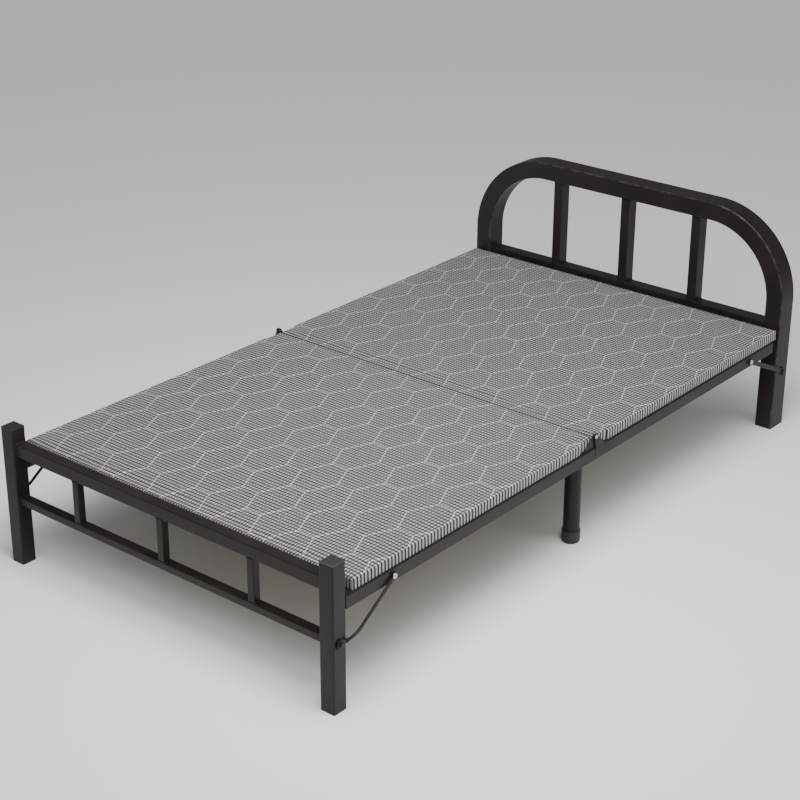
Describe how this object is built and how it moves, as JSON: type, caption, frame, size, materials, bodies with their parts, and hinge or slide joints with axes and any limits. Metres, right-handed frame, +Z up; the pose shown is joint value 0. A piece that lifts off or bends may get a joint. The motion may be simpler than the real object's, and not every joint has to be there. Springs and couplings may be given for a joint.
{
  "type": "folding cot",
  "caption": "Folding cot with an arched tube headboard, a low foot frame, a padded two-part deck that folds at the middle, folding end frames and middle legs, and hook stays.",
  "frame": {"origin": "on the floor under the middle of the cot's bounding box", "axes": "+Y from the foot to the headboard, +X to the right of a person lying on it, +Z up"},
  "size_m": [1.057, 1.9, 0.612],
  "materials": {
    "frame_paint": "satin powder coat, very dark brown",
    "zinc_plate": "zinc plated",
    "black_plastic": "matt moulded",
    "plywood": "sanded plywood",
    "pad_fabric": "fine grey and black stripe weave"
  },
  "bodies": {
    "head_half": {"head_rail_right": "frame_paint", "head_rail_left": "frame_paint", "head_cross_tube_1": "frame_paint", "head_cross_tube_2": "frame_paint", "head_cross_tube_3": "frame_paint", "head_deck_board": "plywood", "head_pad": "pad_fabric", "centre_pin_right": "zinc_plate", "centre_pin_left": "zinc_plate", "head_pivot_rivet_right": "zinc_plate", "head_pivot_rivet_left": "zinc_plate", "head_stay_rivet_right": "zinc_plate", "head_stay_rivet_left": "zinc_plate", "middle_leg_bracket_right": "frame_paint", "middle_leg_bracket_left": "frame_paint"},
    "foot_half": {"foot_rail_right": "frame_paint", "foot_rail_left": "frame_paint", "foot_cross_tube_1": "frame_paint", "foot_cross_tube_2": "frame_paint", "foot_cross_tube_3": "frame_paint", "foot_deck_board": "plywood", "foot_pad": "pad_fabric", "foot_pivot_rivet_right": "zinc_plate", "foot_pivot_rivet_left": "zinc_plate", "foot_stay_rivet_right": "zinc_plate", "foot_stay_rivet_left": "zinc_plate"},
    "head_frame": {"headboard_arch": "frame_paint", "headboard_cross_rail": "frame_paint", "headboard_slat_1": "frame_paint", "headboard_slat_2": "frame_paint", "headboard_slat_3": "frame_paint", "head_hinge_lug_right": "frame_paint", "head_hinge_lug_left": "frame_paint", "head_stay_stud_right": "frame_paint", "head_stay_stud_left": "frame_paint", "head_foot_tip_right": "black_plastic", "head_foot_tip_left": "black_plastic"},
    "foot_frame": {"foot_post_right": "frame_paint", "foot_post_left": "frame_paint", "foot_top_rail": "frame_paint", "foot_lower_rail": "frame_paint", "foot_bar_1": "frame_paint", "foot_bar_2": "frame_paint", "foot_bar_3": "frame_paint", "foot_hinge_lug_right": "frame_paint", "foot_hinge_lug_left": "frame_paint", "foot_stay_stud_right": "frame_paint", "foot_stay_stud_left": "frame_paint", "foot_post_cap_right": "black_plastic", "foot_post_cap_left": "black_plastic", "foot_post_tip_right": "black_plastic", "foot_post_tip_left": "black_plastic"},
    "middle_legs": {"middle_leg_frame": "frame_paint", "middle_leg_tip_right": "black_plastic", "middle_leg_tip_left": "black_plastic"},
    "head_stay_right_swing": {"head_stay_right": "frame_paint"},
    "head_stay_left_swing": {"head_stay_left": "frame_paint"},
    "foot_stay_right_swing": {"foot_stay_right": "frame_paint"},
    "foot_stay_left_swing": {"foot_stay_left": "frame_paint"}
  },
  "joints": [
    {"name": "centre_fold", "type": "hinge", "parent": "head_half", "child": "foot_half", "pos_m": [0, 0, 0.3034], "axis": [1, 0, 0], "range_deg": [-180, 0]},
    {"name": "head_fold", "type": "hinge", "parent": "head_half", "child": "head_frame", "pos_m": [0, 0.842, 0.257], "axis": [1, 0, 0], "range_deg": [-90, 0]},
    {"name": "foot_fold", "type": "hinge", "parent": "foot_half", "child": "foot_frame", "pos_m": [0, -0.868, 0.257], "axis": [1, 0, 0], "range_deg": [0, 90]},
    {"name": "middle_leg_fold", "type": "hinge", "parent": "head_half", "child": "middle_legs", "pos_m": [0, 0, 0.222], "axis": [1, 0, 0], "range_deg": [0, 90]},
    {"name": "head_stay_right_lift", "type": "hinge", "parent": "head_half", "child": "head_stay_right_swing", "pos_m": [0.523, 0.732, 0.257], "axis": [1, 0, 0], "range_deg": [0, 60]},
    {"name": "head_stay_left_lift", "type": "hinge", "parent": "head_half", "child": "head_stay_left_swing", "pos_m": [-0.523, 0.732, 0.257], "axis": [1, 0, 0], "range_deg": [0, 60]},
    {"name": "foot_stay_right_lift", "type": "hinge", "parent": "foot_half", "child": "foot_stay_right_swing", "pos_m": [0.523, -0.758, 0.257], "axis": [1, 0, 0], "range_deg": [-60, 0]},
    {"name": "foot_stay_left_lift", "type": "hinge", "parent": "foot_half", "child": "foot_stay_left_swing", "pos_m": [-0.523, -0.758, 0.257], "axis": [1, 0, 0], "range_deg": [-60, 0]}
  ],
  "couplings": [
    {"joint": "head_fold", "follows": "centre_fold", "ratio": 0.5},
    {"joint": "foot_fold", "follows": "centre_fold", "ratio": -0.5},
    {"joint": "middle_leg_fold", "follows": "centre_fold", "ratio": -0.5}
  ]
}
